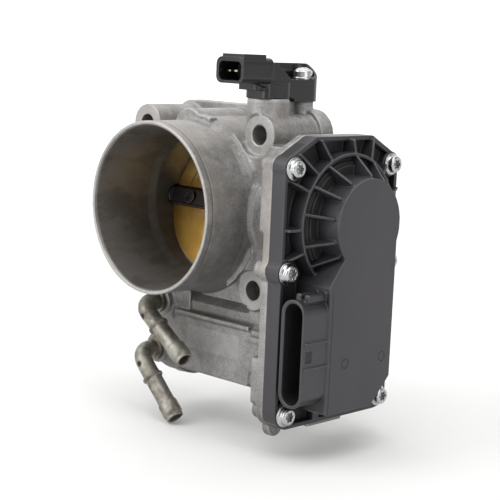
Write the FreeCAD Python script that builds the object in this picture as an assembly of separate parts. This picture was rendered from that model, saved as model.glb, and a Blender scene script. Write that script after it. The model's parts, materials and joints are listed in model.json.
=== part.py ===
import FreeCAD, Part
import math
import os

# Electronic throttle body, millimetres.
# Origin: centre of the bore on the rear mounting face. +Y runs downstream into the
# manifold, -Y points at the inlet hose, +X points at the gear cover, +Z is up.

# Air path
BORE_R = 32.0
INLET_OUTER_R = 38.0
INLET_LIP_R = 35.9
INLET_STEP_R = 33.4
INLET_Y = -66.6
BODY_FRONT_Y = -36.0
SPIGOT_END_Y = -42.6
BORE_STEP_Y = -33.0
BODY_R = 40.0

# Rear flange and its four bolts
BOLT_X = 36.5
BOLT_Z = 33.9
BOLT_HOLE_R = 4.3
BOSS_R = 9.0
FLANGE_THICKNESS = 8.0
FLANGE_CORNER_R = 11.0

# Throttle shaft, plate and gear train: all axes run along X in the plane y = SHAFT_Y
SHAFT_Y = -20.0
SHAFT_R = 5.0
RUNNING_CLEARANCE = 0.05
PLATE_R = BORE_R - 0.3
PLATE_THICKNESS = 1.96
CLOSED_ANGLE = 4.0
REST_ANGLE = 14.0
PLATE_SCREW_X = 18.5

THROTTLE_TEETH = 66
IDLER_SMALL_TEETH = 22
THROTTLE_MODULE = 0.8
IDLER_LARGE_TEETH = 62
MOTOR_TEETH = 14
MOTOR_MODULE = 0.7
PRESSURE_ANGLE = math.radians(20)
BACKLASH = 0.16
IDLER_Z = -THROTTLE_MODULE * (THROTTLE_TEETH + IDLER_SMALL_TEETH) / 2
MOTOR_Z = IDLER_Z - MOTOR_MODULE * (IDLER_LARGE_TEETH + MOTOR_TEETH) / 2
LARGE_GEAR_X = (62.6, 65.8)
SMALL_GEAR_X = (66.6, 71.0)
SECTOR_SPAN = (-20.0, 84.0)

# Gear case and cover: the parting face is at x = PARTING_X
PARTING_X = 64.5
CASE_FLANGE = 4.0
CASE_FLOOR_X = 61.8
CASE_BACK_X = 52.0
COVER_HALF_WIDTH = 36.0
COVER_TOP_Z = 36.0
COVER_SHOULDER_Z = 26.5
COVER_TOP_HALF = 18.0
COVER_BOTTOM_Z = -86.2
RIM_X = PARTING_X + 7.2
FLOOR_X = 68.3
WALL = 2.2
RING_X = 76.4
RING_R = 29.3
RING_INNER_R = 27.9
PLATEAU_X = 87.5
PLATEAU_R = 19.7
BOX_LEFT_Y = -43.1
BOX_RIGHT_Y = -1.8
BOX_BOTTOM_Z = -78.0
COVER_SCREWS = [(-51.0, 23.3), (11.2, 23.3), (-52.6, -19.5), (12.0, -19.5), (-50.4, -79.8), (10.4, -80.4)]
COVER_SCREW_R = 2.4
CAVITY = (-45.5, 5.5, -76.0, 26.0)

# Main connector
SHROUD_MOUTH_Y = -57.7
SHROUD_X = (74.8, 87.0)
SHROUD_Z = (-73.3, -28.8)
SOCKET_X = (76.3, 86.0)
SOCKET_Z = (-72.2, -29.9)
SOCKET_BOTTOM_Y = -45.0

# Pressure sensor on top
SENSOR_X = 33.0
PORT_Y = -27.5
PORT_TOP_Z = 49.5
PORT_BOSS_R = 9.2
PORT_HOLE_R = 6.0
SENSOR_SCREW_Y = -6.3
SENSOR_SCREW_TOP_Z = 48.3
SENSOR_SCREW_BOSS_R = 5.3

# Motor housing and coolant pipes
MOTOR_HOUSING_R = 19.8
MOTOR_HOUSING_X = -24.0
MOTOR_END_BULGE_R = 21.3
COOLANT_DRILLING_X = -20.0
MOTOR_CAVITY_R = 16.6
MOTOR_CAN_R = 16.3
MOTOR_START_X = -8.0
MOTOR_END_X = 52.0
MOTOR_SCREW_SIDES = (-1, 1)
MOTOR_SCREW_OFFSET = 20.8
RETAINER_X = (56.0, 57.0)
PAD_Y = -38.4
PIPE_R = 4.0
PIPE_BORE_R = 2.9
PIPE_PLANE_Y = -50.0
PIPE_BEND_R = 7.0
TIP_BULGE = (8.4, 9.2)
UPPER_PIPE = ((-21.0, -47.5), (9.7, -68.3))
LOWER_PIPE = ((-22.0, -70.0), (5.0, -96.1))

V = FreeCAD.Vector


# ---------- shape helpers ----------

def cyl_x(x0, x1, r, y, z):
    return Part.makeCylinder(r, x1 - x0, V(x0, y, z), V(1, 0, 0))


def cyl_y(y0, y1, r, x, z):
    return Part.makeCylinder(r, y1 - y0, V(x, y0, z), V(0, 1, 0))


def cyl_z(z0, z1, r, x, y):
    return Part.makeCylinder(r, z1 - z0, V(x, y, z0), V(0, 0, 1))


def cone_y(y0, y1, r0, r1, x=0, z=0):
    return Part.makeCone(r0, r1, y1 - y0, V(x, y0, z), V(0, 1, 0))


def cone_x(x0, x1, r0, r1, y, z):
    return Part.makeCone(r0, r1, x1 - x0, V(x0, y, z), V(1, 0, 0))


def block(x0, x1, y0, y1, z0, z1):
    return Part.makeBox(x1 - x0, y1 - y0, z1 - z0, V(x0, y0, z0))


def fuse(shapes):
    shapes = list(shapes)
    if len(shapes) == 1:
        return shapes[0]
    return shapes[0].multiFuse(shapes[1:]).removeSplitter()


def cut(base, tools):
    tools = list(tools)
    joined = tools[0] if len(tools) == 1 else tools[0].multiFuse(tools[1:])
    return base.cut(joined)


def group(shapes):
    return Part.makeCompound(list(shapes))


def tube_x(x0, x1, outer, inner, y, z):
    return cyl_x(x0, x1, outer, y, z).cut(cyl_x(x0 - 1, x1 + 1, inner, y, z))


def rounded_face(corners, place):
    """corners holds (u, v, radius); place turns u, v into a point in space."""
    edges = []
    ends = []
    count = len(corners)
    for i, (u, v, radius) in enumerate(corners):
        here = V(u, v, 0)
        back = V(corners[i - 1][0], corners[i - 1][1], 0) - here
        ahead = V(corners[(i + 1) % count][0], corners[(i + 1) % count][1], 0) - here
        back.normalize()
        ahead.normalize()
        if radius <= 0:
            ends.append((here, here))
            continue
        half = back.getAngle(ahead) / 2
        reach = radius / math.tan(half)
        middle = back + ahead
        middle.normalize()
        centre = here + middle * (radius / math.sin(half))
        start = here + back * reach
        end = here + ahead * reach
        top = centre - middle * radius
        edges.append(Part.Arc(*[place(p.x, p.y) for p in (start, top, end)]).toShape())
        ends.append((start, end))
    for i in range(count):
        a = ends[i][1]
        b = ends[(i + 1) % count][0]
        if a.distanceToPoint(b) > 1e-6:
            edges.append(Part.makeLine(place(a.x, a.y), place(b.x, b.y)))
    return Part.Face(Part.Wire(Part.__sortEdges__(edges)))


def prism_x(corners, x0, x1):
    return rounded_face(corners, lambda u, v: V(x0, u, v)).extrude(V(x1 - x0, 0, 0))


def prism_y(corners, y0, y1):
    return rounded_face(corners, lambda u, v: V(u, y0, v)).extrude(V(0, y1 - y0, 0))


def prism_z(corners, z0, z1):
    return rounded_face(corners, lambda u, v: V(u, v, z0)).extrude(V(0, 0, z1 - z0))


def rectangle(u0, u1, v0, v1, radius):
    return [(u0, v0, radius), (u1, v0, radius), (u1, v1, radius), (u0, v1, radius)]


def hex_socket_x(x0, x1, radius, y, z):
    corners = [(y + radius * math.cos(math.radians(60 * k)), z + radius * math.sin(math.radians(60 * k)), 0)
               for k in range(6)]
    return prism_x(corners, x0, x1)


def around_shaft(angle, radius):
    """Point in the y, z plane at an angle from +Y towards +Z about the throttle shaft."""
    a = math.radians(angle)
    return SHAFT_Y + radius * math.cos(a), radius * math.sin(a)


# ---------- gears ----------

def involute(angle):
    return math.tan(angle) - angle


def gear_corners(teeth, module, y, z, tooth_angle, addendum=1.0):
    """Outline of a spur gear with one tooth centred on tooth_angle (degrees from +Y)."""
    pitch_r = module * teeth / 2
    base_r = pitch_r * math.cos(PRESSURE_ANGLE)
    root_r = pitch_r - 1.25 * module
    tip_r = pitch_r + addendum * module
    half_pitch = math.pi / (2 * teeth) - BACKLASH / (2 * pitch_r) / 2
    start_r = max(base_r, root_r)
    radii = [start_r + (tip_r - start_r) * k / 3 for k in range(4)]
    flank = [(r, half_pitch + involute(PRESSURE_ANGLE) - involute(math.acos(min(1, base_r / r))))
             for r in radii]
    if root_r < base_r:
        flank.insert(0, (root_r, flank[0][1]))
    corners = []
    for k in range(teeth):
        centre = math.radians(tooth_angle) + 2 * math.pi * k / teeth
        for r, half in flank:
            corners.append((y + r * math.cos(centre - half), z + r * math.sin(centre - half), 0))
        for r, half in reversed(flank):
            corners.append((y + r * math.cos(centre + half), z + r * math.sin(centre + half), 0))
    return corners


def spur_gear(teeth, module, x_range, y, z, tooth_angle, addendum=1.0):
    points = [V(x_range[0], u, v) for u, v, _ in gear_corners(teeth, module, y, z, tooth_angle, addendum)]
    wire = Part.makePolygon(points + [points[0]])
    return Part.Face(wire).extrude(V(x_range[1] - x_range[0], 0, 0))


# ---------- housing casting ----------

def case_outline(inset=0.0):
    """Outline of the gear case flange and of the cover, in y and z."""
    left = SHAFT_Y - COVER_HALF_WIDTH + inset
    right = SHAFT_Y + COVER_HALF_WIDTH - inset
    top = COVER_TOP_Z - inset
    bottom = COVER_BOTTOM_Z + inset
    shoulder = COVER_SHOULDER_Z - inset * 0.6
    half_top = COVER_TOP_HALF - inset * 0.6
    return [(left, shoulder, 3), (SHAFT_Y - half_top, top, 3), (SHAFT_Y + half_top, top, 3),
            (right, shoulder, 3),
            (right, bottom, 8 - inset), (left, bottom, 8 - inset)]


def screw_ears(x0, x1, radius):
    """Half-round ears where the middle screws swell the outline."""
    return [cyl_x(x0, x1, radius, y, z) for y, z in COVER_SCREWS[2:4]]


def flange_plate():
    half_x = BOLT_X + FLANGE_CORNER_R
    half_z = BOLT_Z + FLANGE_CORNER_R
    return prism_y(rectangle(-half_x, half_x, -half_z, half_z, FLANGE_CORNER_R - 0.1), -FLANGE_THICKNESS, 0)


def bolt_places():
    return [(sx * BOLT_X, sz * BOLT_Z) for sx in (-1, 1) for sz in (-1, 1)]


def bolt_bosses():
    shapes = []
    for x, z in bolt_places():
        shapes.append(cyl_y(BODY_FRONT_Y, 0, BOSS_R, x, z))
        length = math.hypot(x, z)
        web = block(0, length, BODY_FRONT_Y + 1.5, -1, -5.5, 5.5)
        web.rotate(V(0, 0, 0), V(0, 1, 0), -math.degrees(math.atan2(z, x)))
        shapes.append(web)
    return shapes


def motor_housing():
    body = cyl_x(MOTOR_HOUSING_X, CASE_BACK_X + 8, MOTOR_HOUSING_R, SHAFT_Y, MOTOR_Z)
    bulge = cyl_x(MOTOR_HOUSING_X, MOTOR_HOUSING_X + 12, MOTOR_END_BULGE_R, SHAFT_Y, MOTOR_Z)
    nose = cone_x(MOTOR_HOUSING_X - 2.5, MOTOR_HOUSING_X, MOTOR_END_BULGE_R - 3.5, MOTOR_END_BULGE_R,
                  SHAFT_Y, MOTOR_Z)
    pad = prism_y(rectangle(-9.5, 38, -76.4, -50.2, 1.5), PAD_Y, SHAFT_Y)
    pad_root = block(30, CASE_BACK_X + 2, PAD_Y + 1, SHAFT_Y, -75.6, -51)
    return fuse([body, bulge, nose, pad, pad_root]).cut(block(-60, 80, -60, PAD_Y, -100, 0))


def saddle():
    """Wall that carries the motor housing under the throttle barrel."""
    wall = block(-28, CASE_BACK_X + 4, -34.5, -9, MOTOR_Z, -24)
    left_pier = prism_y(rectangle(-29, -3, -66, -30, 3), BODY_FRONT_Y, -12)
    ledge = block(-10, 38, PAD_Y - 0.9, -33, -51.4, -49.4)
    ledge_end = block(38, 50, PAD_Y - 0.4, -33, -56, -53.6)
    return fuse([wall, left_pier, ledge, ledge_end])


def sensor_bosses():
    port = cyl_z(14, PORT_TOP_Z, PORT_BOSS_R, SENSOR_X, PORT_Y)
    screw = cyl_z(30, SENSOR_SCREW_TOP_Z, SENSOR_SCREW_BOSS_R, SENSOR_X, SENSOR_SCREW_Y)
    bridge = block(SENSOR_X - 4, SENSOR_X + 4, PORT_Y, SENSOR_SCREW_Y, 28, 41)
    return [port, screw, bridge]


def barrel_rib(x0, x1, radius, y0, y1):
    """Low rib that follows the outside of the barrel between two x positions above the shaft."""
    ring = cyl_y(y0, y1, radius, 0, 0).cut(cyl_y(y0 - 1, y1 + 1, INLET_OUTER_R - 1, 0, 0))
    return ring.common(block(x0, x1, y0, y1, 10, 60))


def shoulder_ribs():
    """Raised ridges where the gear case shoulder runs into the barrel, above and below the shaft."""
    upper = barrel_rib(23, 36.5, INLET_OUTER_R + 3.0, BODY_FRONT_Y - 2.8, BODY_FRONT_Y)
    lower = upper.mirror(V(0, 0, 0), V(0, 0, 1))
    return [upper, lower]


def housing_solids():
    parts = [cyl_y(INLET_Y, BODY_FRONT_Y + 2, INLET_OUTER_R, 0, 0), cyl_y(BODY_FRONT_Y, 0, BODY_R, 0, 0)]
    parts.append(cone_y(SPIGOT_END_Y, BODY_FRONT_Y, INLET_OUTER_R, BODY_R))
    parts += bolt_bosses()
    parts.append(flange_plate())
    parts.append(cyl_x(37.9, 39.3, 22.5, SHAFT_Y, 0))
    parts.append(cyl_x(37.9, CASE_BACK_X + 6, 21.6, SHAFT_Y, 0))
    parts.append(block(24, CASE_BACK_X + 4, BODY_FRONT_Y - 1.8, -10, -30, 30))
    parts += shoulder_ribs()
    parts.append(cyl_x(-53, -30, 11.5, SHAFT_Y, 0))
    parts.append(cyl_y(BODY_FRONT_Y - 4.9, -1, 9.3, -3, 33.8))
    parts.append(barrel_rib(-3, 10.5, 41.0, BODY_FRONT_Y - 4.9, BODY_FRONT_Y))
    parts.append(motor_housing())
    parts.append(saddle())
    parts += sensor_bosses()
    parts.append(prism_x(case_outline(), PARTING_X - CASE_FLANGE, PARTING_X))
    parts += screw_ears(PARTING_X - CASE_FLANGE, PARTING_X, 5.4)
    case_back = [(-47, 27, 6), (7, 27, 6), (7, -82.5, 8), (-47, -82.5, 8)]
    parts.append(prism_x(case_back, CASE_BACK_X, PARTING_X - CASE_FLANGE + 1))
    parts.append(prism_x(rectangle(-56, -40, -77, -56.5, 2), PARTING_X - 7.5, PARTING_X - 1))
    parts.append(prism_x(rectangle(-56, -46, -4.5, 25, 2), PARTING_X - 6.3, PARTING_X - 1))
    parts.append(cyl_x(PARTING_X - CASE_FLANGE, PARTING_X, 4.2, -47.5, COVER_BOTTOM_Z - 0.5))
    parts.append(block(PARTING_X - 3, PARTING_X, -30, -8, COVER_BOTTOM_Z - 3.2, COVER_BOTTOM_Z + 2))
    parts.append(block(PARTING_X - 3, PARTING_X + 2.5, -30, -8, COVER_BOTTOM_Z - 3.2, COVER_BOTTOM_Z - 0.35))
    parts.append(cyl_x(PARTING_X - 3, PARTING_X, 3, 6, COVER_BOTTOM_Z + 0.4))
    for y, z in COVER_SCREWS:
        parts.append(cyl_x(PARTING_X - 8, PARTING_X - 1, 3.9, y, z))
    for x, z in (UPPER_PIPE[0], LOWER_PIPE[0]):
        parts.append(cyl_y(PAD_Y - 0.6, -26, 7.0, x, z))
    return fuse(parts)


def coolant_passages():
    cuts = []
    for x, z in (UPPER_PIPE[0], LOWER_PIPE[0]):
        cuts.append(cyl_y(-32, -19, PIPE_BORE_R, x, z))
        cuts.append(cyl_y(-45, -31.5, PIPE_R, x, z))
    cuts.append(cyl_z(-90, UPPER_PIPE[0][1], PIPE_BORE_R, COOLANT_DRILLING_X, -21.5))
    cuts.append(cyl_z(-90, -80.2, PIPE_BORE_R + 1.5, COOLANT_DRILLING_X, -21.5))
    return cuts


def ledge_pocket():
    """Recess over the ledge; its back leans away from the pad towards the barrel."""
    front = [(-3, -36, 0), (3, -36, 0), (3, -41, 0), (33, -41, 0), (34.5, -49.4, 0), (-3, -49.4, 0)]
    lean = [(-46, -49.4, 0), (PAD_Y, -49.4, 0), (-30.0, -40.0, 0), (-30.0, -30, 0), (-46, -30, 0)]
    tool = prism_y(front, -45, -28).common(prism_x(lean, -10, 50))
    return tool.cut(cyl_y(-50, 0, BODY_R + 0.2, 0, 0))


def housing_cuts():
    mouth = cone_y(INLET_Y - 0.01, INLET_Y + 1.0, INLET_LIP_R + 0.9, INLET_LIP_R)
    cuts = [mouth, cyl_y(BORE_STEP_Y - 0.01, 1, BORE_R, 0, 0)]
    cuts.append(cone_y(INLET_Y + 0.99, BORE_STEP_Y - 4, INLET_LIP_R, INLET_STEP_R))
    cuts.append(cone_y(BORE_STEP_Y - 4.01, BORE_STEP_Y, INLET_STEP_R, BORE_R))
    hose_groove = cyl_y(-63.3, -62.7, INLET_OUTER_R + 1, 0, 0)
    hose_groove = hose_groove.cut(cyl_y(-64, -62, INLET_OUTER_R - 0.35, 0, 0))
    cuts.append(hose_groove)
    for x, z in bolt_places():
        cuts.append(cyl_y(BODY_FRONT_Y - 9, 1, BOLT_HOLE_R, x, z))
        cuts.append(cyl_y(BODY_FRONT_Y - 9, BODY_FRONT_Y, BOSS_R + 0.2, x, z).cut(
            cyl_y(INLET_Y, 0, INLET_OUTER_R + 0.4, 0, 0)))
    # nothing of the casting stands behind the mounting face inboard of the gear case
    cuts.append(block(-70, CASE_BACK_X + 2, 0, 40, -100, 80))
    cuts.append(block(BOLT_X + FLANGE_CORNER_R + 0.1, CASE_BACK_X + 2, -1, 40, -100, 80))
    # shaft bores, seal seats and bearing seats
    cuts.append(cyl_x(-54, 52, SHAFT_R + 0.15, SHAFT_Y, 0))
    cuts.append(cyl_x(-54, -38, 7.5, SHAFT_Y, 0))
    cuts.append(cyl_x(40, 63, 11, SHAFT_Y, 0))
    cuts.append(cyl_x(50.6, 63, 17.0, SHAFT_Y, 0))
    # gear case and motor cavities
    cuts.append(prism_x(rectangle(*CAVITY, 6), CASE_FLOOR_X, PARTING_X + 1))
    cuts.append(cyl_x(MOTOR_START_X - 2.2, 63, MOTOR_CAVITY_R, SHAFT_Y, MOTOR_Z))
    cuts.append(cyl_x(MOTOR_START_X - 7, MOTOR_START_X, 5.5, SHAFT_Y, MOTOR_Z))
    cuts.append(cyl_x(55, 63, 2.5, SHAFT_Y, IDLER_Z))
    for y, z in COVER_SCREWS:
        cuts.append(cyl_x(PARTING_X - 7.2, PARTING_X + 1, COVER_SCREW_R, y, z))
    cuts.append(prism_x(retainer_outline(0.3), RETAINER_X[0], 63))
    for y, z in motor_screw_places():
        cuts.append(cyl_x(52.7, 57, 1.6, y, z))
    # pocket between the barrel and the label pad, and relief behind the right lower boss
    cuts.append(ledge_pocket())
    cuts.append(prism_y(rectangle(41, 50, -50.5, -45.5, 2), -38, -31))
    # pressure sensor port, its passage to the bore and the screw hole
    cuts.append(cyl_z(PORT_TOP_Z - 8, PORT_TOP_Z + 1, PORT_HOLE_R, SENSOR_X, PORT_Y))
    cuts.append(cyl_z(10, PORT_TOP_Z - 7, 1.5, SENSOR_X - 3.9, PORT_Y + 2.5))
    cuts.append(cyl_z(SENSOR_SCREW_TOP_Z - 7.5, SENSOR_SCREW_TOP_Z + 1, 2.0, SENSOR_X, SENSOR_SCREW_Y))
    cuts += coolant_passages()
    return cuts


def motor_screw_places():
    return [(SHAFT_Y + side * MOTOR_SCREW_OFFSET, MOTOR_Z - 2.0) for side in MOTOR_SCREW_SIDES]


def retainer_outline(grow=0.0):
    reach = MOTOR_SCREW_OFFSET + 3.7 + grow
    return rectangle(SHAFT_Y - reach, SHAFT_Y + reach, MOTOR_Z - 7.0 - grow, MOTOR_Z + 3.0 + grow, 4)


def throttle_housing():
    return cut(housing_solids(), housing_cuts())


# ---------- throttle shaft group ----------

def to_rest(shape):
    """Turn a piece drawn at the closed stop to the limp-home rest angle."""
    shape.rotate(V(0, SHAFT_Y, 0), V(1, 0, 0), CLOSED_ANGLE - REST_ANGLE)
    return shape


def throttle_plate():
    slab = block(-40, 40, SHAFT_Y - PLATE_THICKNESS / 2, SHAFT_Y + PLATE_THICKNESS / 2, -40, 40)
    slab.rotate(V(0, SHAFT_Y, 0), V(1, 0, 0), -CLOSED_ANGLE)
    disc = slab.common(cyl_y(SHAFT_Y - 20, SHAFT_Y + 20, PLATE_R, 0, 0))
    holes = [tilted_y(x, 2.05, -20, 20) for x in (-PLATE_SCREW_X, PLATE_SCREW_X)]
    return to_rest(disc.cut(fuse(holes)))


def tilted_y(x, radius, y0, y1):
    """Pin square to the closed plate, at a distance y0 to y1 from the shaft axis."""
    pin = cyl_y(SHAFT_Y + y0, SHAFT_Y + y1, radius, x, 0)
    pin.rotate(V(0, SHAFT_Y, 0), V(1, 0, 0), -CLOSED_ANGLE)
    return pin


def throttle_shaft():
    shaft = fuse([cyl_x(-47, 62, SHAFT_R, SHAFT_Y, 0), cyl_x(61, 75.5, 4.0, SHAFT_Y, 0)])
    slot_half = PLATE_THICKNESS / 2 + 0.02
    slot = block(-BORE_R + 0.1, BORE_R - 0.1, SHAFT_Y - slot_half, SHAFT_Y + slot_half, -9, 9)
    flat = block(-BORE_R + 0.1, BORE_R - 0.1, SHAFT_Y - 9, SHAFT_Y - 3.6, -9, 9)
    tools = fuse([slot, flat])
    tools.rotate(V(0, SHAFT_Y, 0), V(1, 0, 0), -CLOSED_ANGLE)
    holes = [tilted_y(x, 2.05, -9, 9) for x in (-PLATE_SCREW_X, PLATE_SCREW_X)]
    return to_rest(cut(shaft, [tools] + holes))


def plate_screws():
    screws = []
    for x in (-PLATE_SCREW_X, PLATE_SCREW_X):
        body = fuse([tilted_y(x, 2.0, -3.7, 5.2), tilted_y(x, 3.4, -5.0, -3.6)])
        recess = tilted_y(x, 1.5, -5.2, -4.0)
        screws.append(to_rest(body.cut(recess)))
    return group(screws)


def throttle_gear():
    """Moulded gear: hub, toothed sector, stop arm and the cup that holds the magnets."""
    teeth_start, teeth_end = SECTOR_SPAN
    wheel = spur_gear(THROTTLE_TEETH, THROTTLE_MODULE, SMALL_GEAR_X, SHAFT_Y, 0, -90)
    wedge = [(SHAFT_Y, 0, 0)]
    steps = 6
    for k in range(steps + 1):
        y, z = around_shaft(-90 + teeth_start + (teeth_end - teeth_start) * k / steps, 34)
        wedge.append((y, z, 0))
    sector = wheel.common(prism_x(wedge, 60, 80))
    window = tube_x(60, 80, 21.5, 14.5, SHAFT_Y, 0)
    keep = [cut_arc(-90 + teeth_start + offset, 7) for offset in (4, 52, 100)]
    sector = sector.cut(window.cut(fuse(keep)))
    disc = cyl_x(SMALL_GEAR_X[0], SMALL_GEAR_X[1], 14.8, SHAFT_Y, 0)
    hub = cyl_x(52.0, SMALL_GEAR_X[1], 9.2, SHAFT_Y, 0)
    cup = tube_x(SMALL_GEAR_X[1] - 0.5, 79.5, 13.2, 11.5, SHAFT_Y, 0)
    arm_y, arm_z = around_shaft(100, 20.5)
    arm = cyl_x(SMALL_GEAR_X[0], SMALL_GEAR_X[1], 3.2, arm_y, arm_z)
    arm_web = prism_x([(SHAFT_Y - 3, 8, 0), (SHAFT_Y + 3, 8, 0), (arm_y + 3, arm_z, 0),
                       (arm_y - 3, arm_z, 0)],
                      *SMALL_GEAR_X)
    gear = fuse([sector, disc, hub, cup, arm, arm_web])
    return cut(gear, [cyl_x(51, 75, 6.5, SHAFT_Y, 0)])


def cut_arc(angle, width):
    """Radial bar through the shaft axis, used for the spokes of the sector."""
    bar = block(55, 85, 0, 40, -width / 2, width / 2)
    bar.translate(V(0, SHAFT_Y, 0))
    bar.rotate(V(0, SHAFT_Y, 0), V(1, 0, 0), angle)
    return bar


def throttle_gear_insert():
    sleeve = cyl_x(52.6, 71.0, 6.5, SHAFT_Y, 0)
    return cut(sleeve, [cyl_x(50, 62, SHAFT_R, SHAFT_Y, 0), cyl_x(61, 80, 4.0, SHAFT_Y, 0)])


def shaft_nut():
    return hex_socket_x(71.0, 75.0, 6.0, SHAFT_Y, 0).cut(cyl_x(70, 76, 4.0, SHAFT_Y, 0))


def sensor_magnets():
    ring = tube_x(71.2, 79.0, 11.5, 9.3, SHAFT_Y, 0)
    gap = block(60, 90, SHAFT_Y - 20, SHAFT_Y + 20, -2.5, 2.5)
    return ring.cut(gap)


def ball_bearing_outer():
    return tube_x(43.6, 50.4, 11.0, 9.0, SHAFT_Y, 0).cut(ball_track())


def ball_track():
    return Part.makeTorus(7.75, 1.72, V(47, SHAFT_Y, 0), V(1, 0, 0))


def ball_bearing_inner():
    return tube_x(43.6, 50.4, 6.5, SHAFT_R, SHAFT_Y, 0).cut(ball_track())


def bearing_balls():
    cage = tube_x(46.4, 47.6, 8.1, 7.4, SHAFT_Y, 0)
    balls = []
    for k in range(9):
        y, z = around_shaft(k * 40, 7.75)
        balls.append(Part.makeSphere(1.62, V(47, y, z)))
    return fuse([cage] + balls)


def needle_bearing():
    return tube_x(-46.6, -39.0, 7.5, SHAFT_R + RUNNING_CLEARANCE, SHAFT_Y, 0)


def shaft_seals():
    left = tube_x(-38.9, -38.0, 7.5, SHAFT_R + RUNNING_CLEARANCE, SHAFT_Y, 0)
    right = tube_x(40.0, 43.3, 11.0, SHAFT_R + RUNNING_CLEARANCE, SHAFT_Y, 0)
    lip_groove = tube_x(41.4, 42.0, 12.0, 10.2, SHAFT_Y, 0)
    return group([left, right.cut(lip_groove)])


def shaft_end_plug():
    cap = cyl_x(-51.4, -48.0, 7.5, SHAFT_Y, 0)
    return cap.cut(cyl_x(-52, -50.2, 5.8, SHAFT_Y, 0))


def return_spring():
    """Coils of the two-way torsion spring round the gear hub, with its fixed end tang."""
    coils = [Part.makeTorus(13.4, 0.85, V(x, SHAFT_Y, 0), V(1, 0, 0)) for x in (52.6, 54.5, 56.4, 58.3, 60.2)]
    bridges = []
    for k in range(4):
        y, z = around_shaft(60 + 70 * k, 13.4)
        bridges.append(cyl_x(52.6 + 1.9 * k, 54.5 + 1.9 * k, 0.7, y, z))
    tang = cyl_y(SHAFT_Y + 13.4, SHAFT_Y + 16.6, 0.8, 54.5, 0)
    return fuse(coils + bridges + [tang])


def spring_guide():
    sleeve = tube_x(51.2, 61.0, 11.6, 10.4, SHAFT_Y, 0)
    flange = tube_x(50.8, 51.7, 16.6, 10.4, SHAFT_Y, 0)
    return fuse([sleeve, flange])


# ---------- intermediate gear and motor ----------

def intermediate_gear():
    large = spur_gear(IDLER_LARGE_TEETH, MOTOR_MODULE, LARGE_GEAR_X, SHAFT_Y, IDLER_Z, -90, 0.8)
    small_phase = 90 + 180 / IDLER_SMALL_TEETH
    small = spur_gear(IDLER_SMALL_TEETH, THROTTLE_MODULE, (LARGE_GEAR_X[1] - 0.2, SMALL_GEAR_X[1]),
                      SHAFT_Y, IDLER_Z, small_phase)
    pockets = []
    for k in range(6):
        a = math.radians(60 * k + 30)
        pockets.append(cyl_x(LARGE_GEAR_X[0] - 1, LARGE_GEAR_X[0] + 1.8, 3.6,
                             SHAFT_Y + 14 * math.cos(a), IDLER_Z + 14 * math.sin(a)))
    return cut(fuse([large, small]), pockets + [cyl_x(50, 90, 2.5 + RUNNING_CLEARANCE, SHAFT_Y, IDLER_Z)])


def intermediate_pin():
    return cyl_x(55, 76, 2.5, SHAFT_Y, IDLER_Z)


def motor_can():
    shell = fuse([cyl_x(MOTOR_START_X, MOTOR_END_X - 2, MOTOR_CAN_R, SHAFT_Y, MOTOR_Z),
                  cyl_x(MOTOR_START_X - 5, MOTOR_START_X, 5.2, SHAFT_Y, MOTOR_Z)])
    cuts = [cyl_x(MOTOR_START_X + 1.6, MOTOR_END_X, MOTOR_CAN_R - 1.6, SHAFT_Y, MOTOR_Z),
            cyl_x(MOTOR_START_X - 3.5, MOTOR_START_X + 2, 3.4, SHAFT_Y, MOTOR_Z)]
    return cut(shell, cuts)


def motor_bushes():
    rear = tube_x(MOTOR_START_X - 3.5, MOTOR_START_X + 1.6, 3.4, 1.55, SHAFT_Y, MOTOR_Z)
    front = tube_x(MOTOR_END_X - 2, MOTOR_END_X + 3, 3.4, 1.55, SHAFT_Y, MOTOR_Z)
    return group([rear, front])


def motor_end_plate():
    plate = cyl_x(MOTOR_END_X - 2, MOTOR_END_X + 1, MOTOR_CAN_R, SHAFT_Y, MOTOR_Z)
    nose = cyl_x(MOTOR_END_X, MOTOR_END_X + 3, 5.5, SHAFT_Y, MOTOR_Z)
    return cut(fuse([plate, nose]), [cyl_x(40, 60, 3.4, SHAFT_Y, MOTOR_Z)])


def motor_spring_washer():
    """Ring that pushes the motor back against the bottom of its bore."""
    return tube_x(MOTOR_END_X + 1, RETAINER_X[0], 15.5, 12.5, SHAFT_Y, MOTOR_Z)


def motor_retainer():
    """Plate across the motor bore, held to the case floor by two screws."""
    ears = prism_x(retainer_outline(), *RETAINER_X)
    disc = cyl_x(*RETAINER_X, 16.5, SHAFT_Y, MOTOR_Z)
    holes = [cyl_x(50, 65, 1.7, y, z) for y, z in motor_screw_places()]
    return cut(fuse([ears, disc]), holes + [cyl_x(50, 65, 9.5, SHAFT_Y, MOTOR_Z)])


def motor_screws():
    screws = []
    for y, z in motor_screw_places():
        screws.append(fuse([cyl_x(52.9, RETAINER_X[1], 1.55, y, z), cyl_x(RETAINER_X[1], 58.9, 2.9, y, z)]))
    return group(screws)


def motor_magnets():
    inner = MOTOR_CAN_R - 1.6
    ring = tube_x(4, 42, inner, inner - 2.2, SHAFT_Y, MOTOR_Z)
    return ring.cut(block(0, 50, SHAFT_Y - 4, SHAFT_Y + 4, MOTOR_Z - 20, MOTOR_Z + 20))


def motor_shaft():
    return cyl_x(MOTOR_START_X - 3.2, LARGE_GEAR_X[1] + 0.2, 1.5, SHAFT_Y, MOTOR_Z)


def motor_armature():
    """Laminated core with five wound slots."""
    core = tube_x(6, 36, 12.2, 1.5, SHAFT_Y, MOTOR_Z)
    slots = []
    for k in range(5):
        a = math.radians(72 * k)
        slots.append(cyl_x(0, 40, 2.6, SHAFT_Y + 8.4 * math.cos(a), MOTOR_Z + 8.4 * math.sin(a)))
        mouth = block(0, 40, 8, 15, -0.9, 0.9)
        mouth.translate(V(0, SHAFT_Y, MOTOR_Z))
        mouth.rotate(V(0, SHAFT_Y, MOTOR_Z), V(1, 0, 0), 72 * k)
        slots.append(mouth)
    return cut(core, slots)


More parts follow.
